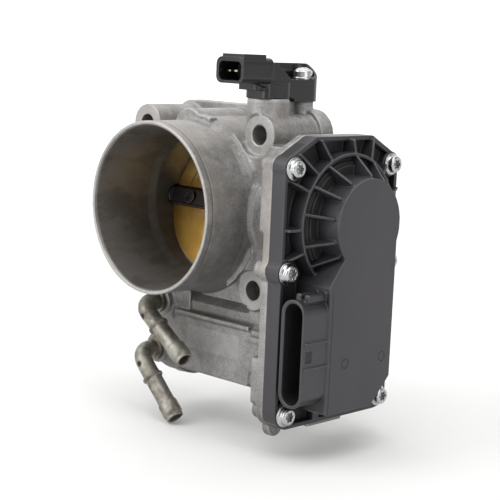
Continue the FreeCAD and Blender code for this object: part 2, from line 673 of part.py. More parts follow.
def motor_windings():
    coils = []
    for k in range(5):
        a = math.radians(72 * k)
        coils.append(cyl_x(4.2, 38.2, 2.3, SHAFT_Y + 8.4 * math.cos(a), MOTOR_Z + 8.4 * math.sin(a)))
    return group(coils)


def motor_commutator():
    drum = tube_x(40.5, 48.5, 5.0, 1.5, SHAFT_Y, MOTOR_Z)
    grooves = []
    for k in range(10):
        groove = block(40, 49, 4.4, 6, -0.2, 0.2)
        groove.translate(V(0, SHAFT_Y, MOTOR_Z))
        groove.rotate(V(0, SHAFT_Y, MOTOR_Z), V(1, 0, 0), 36 * k)
        grooves.append(groove)
    return cut(drum, grooves)


def motor_brushes():
    brushes = []
    for side in (-1, 1):
        near, far = sorted((side * 5.3, side * 12.5))
        brushes.append(block(42, 47, SHAFT_Y - 2, SHAFT_Y + 2, MOTOR_Z + near, MOTOR_Z + far))
    return group(brushes)


def motor_pinion():
    phase = 90 + 180 / MOTOR_TEETH
    pinion = spur_gear(MOTOR_TEETH, MOTOR_MODULE, (LARGE_GEAR_X[0] - 0.4, LARGE_GEAR_X[1]), SHAFT_Y,
                       MOTOR_Z, phase)
    return pinion.cut(cyl_x(50, 80, 1.5, SHAFT_Y, MOTOR_Z))


# ---------- gear cover ----------

def box_corners(inset=0.0):
    left = BOX_LEFT_Y + inset
    right = BOX_RIGHT_Y - inset
    bottom = BOX_BOTTOM_Z + inset
    neck_y = SHAFT_Y - 14.6 + inset
    chamfer = 11.6 - inset * 0.4
    return [(left, bottom, 2), (right - chamfer, bottom, 1), (right, bottom + chamfer, 1), (right, -4, 0),
            (neck_y, -4, 0), (neck_y, -13.2, 1), (left, -24.1, 1)]


def cover_box(x0, x1, inset=0.0):
    return fuse([cyl_x(x0, x1, PLATEAU_R - inset, SHAFT_Y, 0), prism_x(box_corners(inset), x0, x1)])


def cover_ribs():
    """Radial ribs: an inner set from the plateau down to the ring, an outer set to the rim."""
    ribs = []
    half = 0.55
    for angle in (12, 36, 60, 85, 121, 145, 170, 197.5, 217):
        profile = [(PLATEAU_R - 2, 72), (PLATEAU_R - 2, 85.6), (PLATEAU_R + 1.2, 85.6),
                   (RING_INNER_R + 0.5, RING_X),
                   (RING_INNER_R + 0.5, 72)]
        points = [V(x, r, -half) for r, x in profile]
        ribs.append(Part.Face(Part.makePolygon(points + [points[0]])).extrude(V(0, 0, 2 * half)))
        ribs[-1].translate(V(0, SHAFT_Y, 0))
        ribs[-1].rotate(V(0, SHAFT_Y, 0), V(1, 0, 0), angle)
    for angle in (5, 20, 42, 63, 85, 115, 134, 151, 183, 203):
        profile = [(RING_R - 0.6, 67), (RING_R - 0.6, RING_X - 0.4), (RING_R + 1.0, RING_X - 0.8),
                   (46, RIM_X - 1.0),
                   (46, 67)]
        points = [V(x, r, -half) for r, x in profile]
        rib = Part.Face(Part.makePolygon(points + [points[0]])).extrude(V(0, 0, 2 * half))
        rib.translate(V(0, SHAFT_Y, 0))
        rib.rotate(V(0, SHAFT_Y, 0), V(1, 0, 0), angle)
        ribs.append(rib.common(prism_x(case_outline(1.2), 60, 90)))
    return ribs


def connector_shroud():
    radius = (SHROUD_X[1] - SHROUD_X[0]) / 2 - 0.05
    shroud = prism_y(rectangle(*SHROUD_X, *SHROUD_Z, radius), SHROUD_MOUTH_Y, BOX_LEFT_Y + 1.5)
    lip = prism_y(rectangle(SHROUD_X[0] - 0.3, SHROUD_X[1], SHROUD_Z[0] - 0.3, SHROUD_Z[1] + 0.3, radius),
                  SHROUD_MOUTH_Y, SHROUD_MOUTH_Y + 1.4)
    ribs = [block(SHROUD_X[1] - 1, SHROUD_X[1] + 0.9, SHROUD_MOUTH_Y + 1.0, BOX_LEFT_Y + 1,
                  z - 0.55, z + 0.55)
            for z in (-46, -56.4)]
    rails = [prism_y(rectangle(x, x + 2.6, -30, -26.4, 0.8), SHROUD_MOUTH_Y + 4, BOX_LEFT_Y + 1)
             for x in (78.5, 83)]
    foot = block(FLOOR_X - 1, SHROUD_X[0] + 3, BOX_LEFT_Y - 8, BOX_LEFT_Y + 1, -60, -58)
    return fuse([shroud, lip, foot] + ribs + rails)


def gear_cover():
    y0, y1, z0, z1 = CAVITY
    plate = prism_x(case_outline(), PARTING_X, FLOOR_X)
    rim = prism_x(case_outline(), PARTING_X, RIM_X).cut(prism_x(case_outline(1.9), 60, 80))
    solids = [plate, rim] + screw_ears(PARTING_X, RIM_X, 5.4)
    for y, z in COVER_SCREWS:
        solids.append(cyl_x(PARTING_X, RIM_X, 5.4, y, z))
    solids.append(tube_x(PARTING_X + 1, RING_X, RING_R, RING_INNER_R, SHAFT_Y, 0))
    solids.append(cyl_x(72.0, 73.4, RING_R - 0.5, SHAFT_Y, 0))
    solids.append(cyl_x(72.0, 74.6, 25.6, SHAFT_Y, 0))
    solids.append(cyl_x(72.0, 75.8, 24.2, SHAFT_Y, 0))
    solids.append(cover_box(FLOOR_X - 1, PLATEAU_X))
    solids.append(block(FLOOR_X - 1, 72.5, -33, -29, -84.5, -77))
    solids.append(block(FLOOR_X - 1, 72.5, -12, -8, -84.5, -77))
    body = fuse(solids + cover_ribs())
    cavity = prism_x(rectangle(y0, y1, z0, z1, 6), PARTING_X - 1, PARTING_X + 1.8)
    cuts = [cavity, cyl_x(PARTING_X - 1, 72.0, RING_INNER_R, SHAFT_Y, 0)]
    cuts.append(cover_box(PARTING_X - 1, PLATEAU_X - WALL, WALL))
    body = cut(body, cuts)
    pin_boss = cyl_x(72.6, PLATEAU_X - 1, 5.0, SHAFT_Y, IDLER_Z)
    body = fuse([body, connector_shroud(), pin_boss])
    holes = [cyl_x(60, 76.2, 2.5, SHAFT_Y, IDLER_Z)]
    holes += [cyl_x(60, 80, COVER_SCREW_R + 0.3, y, z) for y, z in COVER_SCREWS]
    holes += [cyl_x(RIM_X, RIM_X + 8, 5.7, y, z) for y, z in COVER_SCREWS]
    radius = (SOCKET_X[1] - SOCKET_X[0]) / 2 - 0.05
    holes.append(prism_y(rectangle(*SOCKET_X, *SOCKET_Z, radius), SHROUD_MOUTH_Y - 1, SOCKET_BOTTOM_Y))
    holes.append(block(SHROUD_X[1] - 0.6, SHROUD_X[1] + 1, SHROUD_MOUTH_Y + 1.6, SHROUD_MOUTH_Y + 6,
                       -54.0, -49.2))
    # witness line and ejector marks on the flat box face
    holes.append(block(PLATEAU_X - 0.3, PLATEAU_X + 1, BOX_LEFT_Y + 1.9, BOX_LEFT_Y + 2.2, -78.5, -28))
    for y in (-31.7, -7.9):
        holes.append(tube_x(PLATEAU_X - 0.35, PLATEAU_X + 1, 2.2, 1.7, y, -57.1))
    holes.append(gasket_ring(PARTING_X - 1, PARTING_X + 1.4, 0.05))
    holes += terminal_blades()
    return cut(body, holes)


def gasket_ring(x0, x1, grow):
    y0, y1, z0, z1 = CAVITY
    outer = prism_x(rectangle(y0 - 3.0 - grow, y1 + 3.0 + grow, z0 - 3.0 - grow, z1 + 2.8 + grow, 8), x0, x1)
    inner = prism_x(rectangle(y0 - 1.6 + grow, y1 + 1.6 - grow, z0 - 1.6 + grow, z1 + 1.4 - grow, 7),
                    x0 - 1, x1 + 1)
    return outer.cut(inner)


def cover_gasket():
    return gasket_ring(PARTING_X, PARTING_X + 1.4, 0)


def terminal_blades():
    middle_x = (SOCKET_X[0] + SOCKET_X[1]) / 2
    blades = []
    for k in range(6):
        z = -35.8 - 6.4 * k
        blades.append(block(middle_x - 0.4, middle_x + 0.4, SOCKET_BOTTOM_Y - 5.5, BOX_LEFT_Y + WALL + 3,
                            z - 1.1, z + 1.1))
    return blades


def connector_terminals():
    return group(terminal_blades())


def position_sensor_board():
    board = fuse([cyl_x(83.6, 85.2, 16.6, SHAFT_Y, 0), block(83.6, 85.2, -30, -7, -25, 0),
                  block(83.6, 85.2, -36, -7, -60, -24)])
    stator = cyl_x(76.4, 84, 5.6, SHAFT_Y, 0)
    chip = block(81.6, 84, -30, -22, -54, -46)
    return cut(fuse([board, stator, chip]), [cyl_x(80, 90, 5.3, SHAFT_Y, IDLER_Z)])


def cover_screws():
    """Flange screws with a captive washer and a lobed drive recess."""
    screws = []
    for y, z in COVER_SCREWS:
        washer = cyl_x(RIM_X, RIM_X + 0.7, 4.75, y, z)
        flange = cone_x(RIM_X + 0.7, RIM_X + 1.3, 4.3, 3.7, y, z)
        head = fuse([cyl_x(RIM_X + 1.2, RIM_X + 3.1, 3.6, y, z),
                     cone_x(RIM_X + 3.1, RIM_X + 3.6, 3.6, 3.0, y, z)])
        shank = cyl_x(PARTING_X - 6.6, RIM_X + 1, COVER_SCREW_R - 0.05, y, z)
        recess = [cyl_x(RIM_X + 1.4, RIM_X + 6, 1.5, y, z)]
        for k in range(6):
            a = math.radians(60 * k)
            recess.append(cyl_x(RIM_X + 1.4, RIM_X + 6, 0.65, y + 1.6 * math.cos(a), z + 1.6 * math.sin(a)))
        screws.append(cut(fuse([washer, flange, head, shank]), recess))
    return group(screws)


# ---------- pressure sensor ----------

def pressure_sensor():
    x = SENSOR_X
    tube = prism_y(rectangle(x - 8.2, x + 8.2, 55.8, 66.9, 3), -51.8, -33.4)
    socket = prism_y(rectangle(x - 6.6, x + 6.6, 57.1, 65.0, 2.2), -53, -40)
    latch = block(x - 5.5, x + 7.4, -51.0, -37.4, 66, 68.2)
    nub = block(x - 9.2, x - 8, -51, -46, 62, 63.4)
    neck = prism_z(rectangle(x - 7.2, x + 7.2, PORT_Y - 8.4, PORT_Y + 7.2, 3), PORT_TOP_Z, 56.5)
    step = prism_z(rectangle(x - 7.2, x + 5, PORT_Y - 12.5, PORT_Y, 2), 53, 56.5)
    end_y = SENSOR_SCREW_Y + 6.4
    body_side = [(-40, 55.6, 0), (-18.2, 49.6, 0), (-17.6, SENSOR_SCREW_TOP_Z, 0),
                 (end_y, SENSOR_SCREW_TOP_Z, 0),
                 (end_y, 64.9, 0), (-32.6, 64.9, 1), (-36.4, 66.4, 1), (-40, 66.4, 0)]
    outline = rounded_face(body_side, lambda u, v: V(x - 6.4, u, v))
    plan = prism_z([(x - 6.4, -45, 0), (x + 6.4, -45, 0), (x + 6.4, end_y, 6.3),
                    (x - 6.4, end_y, 6.3)], 40, 75)
    body = outline.extrude(V(12.8, 0, 0)).common(plan)
    seat_z = 57.9
    notch_side = [(-20.2, seat_z, 0), (SENSOR_SCREW_Y, seat_z, 0), (SENSOR_SCREW_Y, 70, 0), (-36.5, 70, 0)]
    notch = rounded_face(notch_side, lambda u, v: V(x - 4.9, u, v)).extrude(V(20, 0, 0))
    slant = [(x - 3.5, 65.4, 0), (x + 7, seat_z, 0), (x + 7, 72, 0), (x - 3.5, 72, 0)]
    notch = fuse([notch, cyl_z(seat_z, 70, 5.1, x, SENSOR_SCREW_Y),
                  prism_y(slant, SENSOR_SCREW_Y, end_y + 1)])
    spigot = cyl_z(PORT_TOP_Z - 7.4, PORT_TOP_Z, PORT_HOLE_R - 0.1, x, PORT_Y)
    ring_groove = cyl_z(PORT_TOP_Z - 5.2, PORT_TOP_Z - 2.8, PORT_HOLE_R + 1, x, PORT_Y).cut(
        cyl_z(PORT_TOP_Z - 6, PORT_TOP_Z - 2, PORT_HOLE_R - 1.7, x, PORT_Y))
    solid = fuse([tube, latch, nub, neck, step, body, spigot])
    cuts = [socket, notch, ring_groove, cyl_z(40, 60, 2.3, x, SENSOR_SCREW_Y), cyl_z(40, 52, 1.6, x, PORT_Y)]
    cuts += sensor_blades()
    return cut(solid, cuts)


def sensor_blades():
    return [block(SENSOR_X + dx - 0.8, SENSOR_X + dx + 0.8, -48, -37, 60.7, 61.4) for dx in (-4, 0, 4)]


def sensor_terminals():
    return group(sensor_blades())


def sensor_o_ring():
    return Part.makeTorus(PORT_HOLE_R - 0.85, 0.8, V(SENSOR_X, PORT_Y, PORT_TOP_Z - 4.0), V(0, 0, 1))


def sensor_screw():
    x, y = SENSOR_X, SENSOR_SCREW_Y
    dome = Part.makeSphere(6.0, V(x, y, 57.3)).common(cyl_z(58.6, 64, 4.4, x, y))
    washer = cyl_z(57.9, 58.7, 4.8, x, y)
    shank = cyl_z(SENSOR_SCREW_TOP_Z - 6.5, 59, 1.95, x, y)
    cross = [block(x - 2.2, x + 2.2, y - 0.45, y + 0.45, 62.0, 65)]
    cross.append(block(x - 0.45, x + 0.45, y - 2.2, y + 2.2, 62.0, 65))
    return cut(fuse([dome, washer, shank]), cross)


# ---------- coolant pipes and small fittings ----------

def coolant_pipe(base, tip):
    """Pipe that leaves the casting along -Y, turns through one bend and runs to a bulged tip."""
    start = V(base[0], -32.0, base[1])
    corner = V(base[0], PIPE_PLANE_Y, base[1])
    end = V(tip[0], PIPE_PLANE_Y, tip[1])
    inward = start - corner
    inward.normalize()
    outward = end - corner
    outward.normalize()
    bend_in = corner + inward * PIPE_BEND_R
    bend_out = corner + outward * PIPE_BEND_R
    diagonal = inward + outward
    diagonal.normalize()
    centre = corner + diagonal * (PIPE_BEND_R * math.sqrt(2))
    bend_mid = centre - diagonal * PIPE_BEND_R
    path = Part.Wire([Part.makeLine(start, bend_in), Part.Arc(bend_in, bend_mid, bend_out).toShape(),
                      Part.makeLine(bend_out, end)])
    skins = []
    for radius in (PIPE_R - 0.02, PIPE_BORE_R):
        ring = Part.Wire(Part.makeCircle(radius, start, V(0, 1, 0)))
        skins.append(path.makePipeShell([ring], True, False))
    run = (end - corner).Length
    beads = []
    for place, length, grow, side in ((14.0, 2.2, 0.9, 0.66), (run - TIP_BULGE[1], TIP_BULGE[0], 0.55, 1.6)):
        at = corner + outward * place
        beads.append(Part.makeCone(PIPE_R - 0.1, PIPE_R + grow, side, at, outward))
        beads.append(Part.makeCylinder(PIPE_R + grow, length - 2 * side, at + outward * side, outward))
        beads.append(Part.makeCone(PIPE_R + grow, PIPE_R - 0.1, side,
                                   at + outward * (length - side), outward))
    collar = cyl_y(PAD_Y - 2.2, PAD_Y - 0.6, PIPE_R + 1.2, base[0], base[1])
    pipe = fuse([skins[0], collar] + beads)
    return pipe.cut(skins[1])


def upper_coolant_pipe():
    return coolant_pipe(*UPPER_PIPE)


def lower_coolant_pipe():
    return coolant_pipe(*LOWER_PIPE)


def coolant_core_plug():
    cup = cyl_z(-82.8, -80.2, PIPE_BORE_R + 1.5, COOLANT_DRILLING_X, -21.5)
    return cup.cut(cyl_z(-84, -81.2, PIPE_BORE_R + 0.4, COOLANT_DRILLING_X, -21.5))


NODES = {
    "throttle_housing": throttle_housing,
    "throttle_shaft": throttle_shaft,
    "throttle_plate": throttle_plate,
    "plate_screws": plate_screws,
    "throttle_gear": throttle_gear,
    "throttle_gear_insert": throttle_gear_insert,
    "shaft_nut": shaft_nut,
    "sensor_magnets": sensor_magnets,
    "bearing_outer_race": ball_bearing_outer,
    "bearing_inner_race": ball_bearing_inner,
    "bearing_balls": bearing_balls,
    "needle_bearing": needle_bearing,
    "shaft_seals": shaft_seals,
    "shaft_end_plug": shaft_end_plug,
    "return_spring": return_spring,
    "spring_guide": spring_guide,
    "intermediate_gear": intermediate_gear,
    "intermediate_pin": intermediate_pin,
    "motor_can": motor_can,
    "motor_bushes": motor_bushes,
    "motor_end_plate": motor_end_plate,
    "motor_spring_washer": motor_spring_washer,
    "motor_retainer": motor_retainer,
    "motor_screws": motor_screws,
    "motor_magnets": motor_magnets,
    "motor_shaft": motor_shaft,
    "motor_armature": motor_armature,
    "motor_windings": motor_windings,
    "motor_commutator": motor_commutator,
    "motor_brushes": motor_brushes,
    "motor_pinion": motor_pinion,
    "gear_cover": gear_cover,
    "cover_gasket": cover_gasket,
    "cover_screws": cover_screws,
    "connector_terminals": connector_terminals,
    "position_sensor_board": position_sensor_board,
    "pressure_sensor": pressure_sensor,
    "sensor_terminals": sensor_terminals,
    "sensor_o_ring": sensor_o_ring,
    "sensor_screw": sensor_screw,
    "upper_coolant_pipe": upper_coolant_pipe,
    "lower_coolant_pipe": lower_coolant_pipe,
    "coolant_core_plug": coolant_core_plug,
}

os.makedirs("parts", exist_ok=True)
for name, make in NODES.items():
    shape = make()
    box = shape.BoundBox
    print(f"{name:24s} solids {len(shape.Solids):2d} valid {shape.isValid()} volume {shape.Volume:10.1f} "
          f"x {box.XMin:.1f} {box.XMax:.1f} y {box.YMin:.1f} {box.YMax:.1f} z {box.ZMin:.1f} {box.ZMax:.1f}")
    shape.exportStep(f"parts/{name}.step")
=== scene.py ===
import json
import math

import bpy
from mathutils import Matrix, Vector


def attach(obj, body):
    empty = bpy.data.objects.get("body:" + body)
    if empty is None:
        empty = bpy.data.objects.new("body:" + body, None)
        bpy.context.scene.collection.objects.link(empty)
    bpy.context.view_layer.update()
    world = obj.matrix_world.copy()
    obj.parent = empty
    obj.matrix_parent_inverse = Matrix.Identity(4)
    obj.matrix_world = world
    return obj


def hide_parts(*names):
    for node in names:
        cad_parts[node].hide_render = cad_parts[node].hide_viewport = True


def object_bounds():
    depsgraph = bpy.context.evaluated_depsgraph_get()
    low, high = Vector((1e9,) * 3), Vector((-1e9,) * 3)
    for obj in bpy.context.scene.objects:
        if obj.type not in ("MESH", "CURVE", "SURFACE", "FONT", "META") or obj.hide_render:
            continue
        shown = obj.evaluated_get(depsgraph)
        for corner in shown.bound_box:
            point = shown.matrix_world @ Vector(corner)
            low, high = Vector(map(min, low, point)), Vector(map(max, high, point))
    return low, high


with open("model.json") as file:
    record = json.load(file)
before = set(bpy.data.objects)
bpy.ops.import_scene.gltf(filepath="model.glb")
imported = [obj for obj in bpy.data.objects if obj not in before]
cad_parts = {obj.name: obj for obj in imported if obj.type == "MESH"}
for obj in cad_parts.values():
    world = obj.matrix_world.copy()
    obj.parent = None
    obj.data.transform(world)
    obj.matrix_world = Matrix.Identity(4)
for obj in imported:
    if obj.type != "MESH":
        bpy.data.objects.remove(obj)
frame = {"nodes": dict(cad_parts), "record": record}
cadBox = [list(corner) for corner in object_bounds()]
mm = 0.001
scene = bpy.context.scene
print("frame loaded,", len(frame["nodes"]), "nodes")


class Wire:
    # a shader socket that can be used in sums
    def __init__(self, shade, socket):
        self.shade = shade
        self.socket = socket

    def sum(self, operation, *others, clamp=False):
        inputs = dict(enumerate(others))
        return self.shade.node("ShaderNodeMath", {"operation": operation, "use_clamp": clamp}, inputs)

    def __add__(self, other):
        return self.sum("ADD", self, other)

    def __radd__(self, other):
        return self.sum("ADD", other, self)

    def __sub__(self, other):
        return self.sum("SUBTRACT", self, other)

    def __rsub__(self, other):
        return self.sum("SUBTRACT", other, self)

    def __mul__(self, other):
        return self.sum("MULTIPLY", self, other)

    def __rmul__(self, other):
        return self.sum("MULTIPLY", other, self)

    def __pow__(self, other):
        return self.sum("POWER", self, other)

    def __abs__(self):
        return self.sum("ABSOLUTE", self)

    def root(self):
        return self.sum("SQRT", self)

    def clipped(self):
        return self.sum("ADD", self, 0.0, clamp=True)


class Shade:
    # one material, with its shader written as sums of wires
    def __init__(self, name):
        self.material = bpy.data.materials.new(name)
        self.material.use_nodes = True
        self.tree = self.material.node_tree
        self.tree.nodes.clear()
        self.surface = self.tree.nodes.new("ShaderNodeBsdfPrincipled")
        output = self.tree.nodes.new("ShaderNodeOutputMaterial")
        self.tree.links.new(self.surface.outputs[0], output.inputs[0])
        self.place = self.node("ShaderNodeTexCoord", {}, {}, out="Object")

    def node(self, kind, settings, inputs, out=0):
        made = self.tree.nodes.new(kind)
        for key, value in settings.items():
            setattr(made, key, value)
        for key, value in inputs.items():
            self.feed(made.inputs[key], value)
        return Wire(self, made.outputs[out])

    def feed(self, socket, value):
        if isinstance(value, Wire):
            self.tree.links.new(value.socket, socket)
        elif isinstance(value, tuple) and len(value) == 3 and socket.type == "RGBA":
            socket.default_value = (*value, 1)
        else:
            socket.default_value = value

    def noise(self, scale, detail=4.0, rough=0.55, at=None):
        inputs = {"Vector": at or self.place, "Scale": scale, "Detail": detail, "Roughness": rough}
        return self.node("ShaderNodeTexNoise", {}, inputs)

    def cells(self, scale):
        return self.node("ShaderNodeTexVoronoi", {}, {"Vector": self.place, "Scale": scale})

    def step(self, value, low, high):
        # 0 below low, 1 above high, smooth between
        settings = {"interpolation_type": "SMOOTHSTEP"}
        return self.node("ShaderNodeMapRange", settings, {"Value": value, "From Min": low, "From Max": high})

    def band(self, value, middle, outer, inner):
        # 1 within inner of the middle, 0 beyond outer
        return self.step(abs(value - middle), outer, inner)

    def mix(self, factor, a, b):
        return self.node("ShaderNodeMix", {"data_type": "RGBA"}, {0: factor, 6: a, 7: b}, out=2)

    def stretched(self, scale):
        return self.node("ShaderNodeVectorMath", {"operation": "MULTIPLY"}, {0: self.place, 1: scale})

    def split(self):
        # the place on the part in millimetres, as three wires
        made = self.tree.nodes.new("ShaderNodeSeparateXYZ")
        self.tree.links.new(self.place.socket, made.inputs[0])
        return [Wire(self, made.outputs[i]) * 1000.0 for i in range(3)]

    def spot(self, centre, inner, outer):
        # 1 inside a ball of the inner radius (mm), 0 outside the outer one
        settings = {"operation": "DISTANCE"}
        away = self.node("ShaderNodeVectorMath", settings, {0: self.place, 1: centre}, out=1) * 1000.0
        return self.step(away, outer, inner)

    def reach(self, u, v, u0, v0):
        # distance from u0, v0 in the plane of two coordinates
        return ((u - u0) ** 2 + (v - v0) ** 2).root()

    def ring(self, u, v, u0, v0, radius):
        # a thin circle about u0, v0
        return self.step(abs(self.reach(u, v, u0, v0) - radius), 0.45, 0.15)

    def edges(self, low, high):
        # above 0.5 the surface is convex, below it is concave
        pointy = self.node("ShaderNodeNewGeometry", {}, {}, out="Pointiness")
        return self.step(pointy, low, high)

    def upward(self):
        # 1 on a face that looks up, -1 on one that looks down
        facing = self.node("ShaderNodeNewGeometry", {}, {}, out="Normal")
        settings = {"operation": "DOT_PRODUCT"}
        return self.node("ShaderNodeVectorMath", settings, {0: facing, 1: (0.0, 0.0, 1.0)}, out=1)

    def bump(self, height, distance, strength):
        return self.node("ShaderNodeBump", {}, {"Height": height, "Distance": distance, "Strength": strength})

    def finish(self, **sockets):
        for key, value in sockets.items():
            self.feed(self.surface.inputs[key.replace("_", " ")], value)
        return self.material


def castAluminium():
    # places are in mm: ranges are (mask off, mask on), bands are (middle, off, on)
    look = {"light": (0.355, 0.349, 0.342), "dark": (0.185, 0.180, 0.175), "warm": (0.27, 0.232, 0.20),
            "duct": (0.205, 0.196, 0.184), "ductDark": (0.078, 0.071, 0.064), "machinedAndHighlight": (0.56, 0.555, 0.54),
            "grimeAndShade": (0.10, 0.09, 0.08), "brushed": (0.44, 0.45, 0.46), "creaseShade": (0.10, 0.092, 0.084),
            "lowHeight": (-28.0, -70.0), "lowRadius": (38.5, 40.0),
            "ductRadius": (36.7, 36.2), "ductMouth": (-0.1, -0.5), "ductDepth": (-60.0, -24.0),
            "lipPlane": (-66.2, -66.45), "lipRadius": (35.0, 35.6),
            "padPlane": (-36.0, 0.28, 0.12), "padCentre": (36.5, 33.9), "padRadius": (8.7, 8.3),
            "rearPlane": (-0.2, -0.05), "rearRadius": (31.6, 32.2),
            "portTop": (47.8, 48.0), "portWidth": (33.0, 10.0, 9.5),
            "patchPlane": (-38.4, 0.3, 0.1), "patchWidth": (15.0, 17.0, 16.4),
            "patchHeight": (-60.5, 5.6, 5.0), "groovePlane": (-62.9, 0.42, 0.16),
            "grooveRadius": (37.2, 37.5), "edgeRadius": (33.2, 34.2),
            "stainAmount": 0.45, "underShadeAmount": 0.45, "lowShadeAmount": 0.22, "sootAmount": 0.48,
            "ductFilmAndShadeAmount": 0.95, "cutAmount": 0.7, "patchAmount": 0.22, "grooveShadeAmount": 0.75,
            "edgeAmount": 0.42, "creaseShadeAmount": 0.55, "metal": 0.62, "skinDepth": 0.00026}
    shade = Shade("castAluminium")
    x, y, z = shade.split()
    radial = (x * x + z * z).root()
    cloud = shade.noise(48, 5, 0.6)
    blotch = shade.noise(240, 5, 0.68)
    grain = shade.noise(1500, 3, 0.7)
    tone = (cloud * 0.5 + blotch * 0.5 + (grain - 0.5) * 0.5).clipped()
    base = shade.mix(shade.step(tone, 0.34, 0.66), look["dark"], look["light"])
    stain = shade.step(shade.noise(34, 3, 0.5, at=shade.stretched((1.0, 1.3, 0.7))), 0.52, 0.70)
    base = shade.mix(stain * look["stainAmount"], base, look["warm"])
    # painted shade: faces that look down, and the lower body, are darkened
    under = shade.step(shade.upward(), 0.05, -0.75)
    base = shade.mix(under * look["underShadeAmount"], base, look["grimeAndShade"])
    low = shade.step(z, *look["lowHeight"]) * shade.step(radial, *look["lowRadius"])
    base = shade.mix(low * look["lowShadeAmount"], base, look["grimeAndShade"])
    # the inside of the duct is darker: oily soiling with sooty patches, plus painted shade that deepens
    # towards the plate
    inside = shade.step(radial, *look["ductRadius"]) * shade.step(y, *look["ductMouth"])
    depth = shade.step(y, *look["ductDepth"])
    streak = shade.noise(90, 5, 0.65, at=shade.stretched((1.0, 0.25, 1.0)))
    filmAndShade = (depth * 0.7 + (streak - 0.5) * 1.3 + (blotch - 0.5) * 0.6).clipped()
    ductTone = shade.mix(filmAndShade, look["duct"], look["ductDark"])
    soot = shade.step(shade.noise(78, 5, 0.68, at=shade.stretched((1.0, 0.6, 1.0))), 0.49, 0.62)
    ductTone = shade.mix(soot * look["sootAmount"], ductTone, look["ductDark"])
    base = shade.mix(inside * look["ductFilmAndShadeAmount"], base, ductTone)
    # faces cut by a tool: inlet lip, bolt pads, rear face and sensor port
    lip = shade.step(y, *look["lipPlane"]) * shade.step(radial, *look["lipRadius"])
    pads = shade.step(shade.reach(abs(x), abs(z), *look["padCentre"]), *look["padRadius"])
    pads = shade.band(y, *look["padPlane"]) * pads
    rear = shade.step(y, *look["rearPlane"]) * shade.step(radial, *look["rearRadius"])
    port = shade.step(z, *look["portTop"]) * shade.band(x, *look["portWidth"])
    cut = (lip * 0.35 + pads * 0.3 + rear + port * 0.3).clipped()
    base = shade.mix(cut * look["cutAmount"], base, look["machinedAndHighlight"])
    # brushed patch on the label pad, and the turned groove behind the lip darkened with painted shade
    patch = shade.band(y, *look["patchPlane"]) * shade.band(x, *look["patchWidth"])
    patch = patch * shade.band(z, *look["patchHeight"])
    base = shade.mix(patch * look["patchAmount"], base, look["brushed"])
    groove = shade.band(y, *look["groovePlane"]) * shade.step(radial, *look["grooveRadius"])
    base = shade.mix(groove * look["grooveShadeAmount"], base, look["grimeAndShade"])
    # convex edges lighter: edge wear with a painted highlight
    edge = shade.edges(0.515, 0.56) * (1.0 - inside) * shade.step(radial, *look["edgeRadius"])
    edge = edge * (1.0 - lip * 0.6) * (1.0 - rear)
    base = shade.mix(edge * look["edgeAmount"], base, look["machinedAndHighlight"])
    # painted shade in the concave creases
    creaseShade = shade.edges(0.485, 0.435) * (1.0 - rear)
    base = shade.mix(creaseShade * look["creaseShadeAmount"], base, look["creaseShade"])
    rough = (0.52 + (blotch - 0.5) * 0.35 - cut * 0.16 - inside * 0.14 - edge * 0.08).clipped()
    skin = (grain * 0.55 + blotch) * (1.0 - cut * 0.85) - groove * 1.2
    return shade.finish(Base_Color=base, Roughness=rough, Metallic=look["metal"],
                        Normal=shade.bump(skin, look["skinDepth"], 0.6))


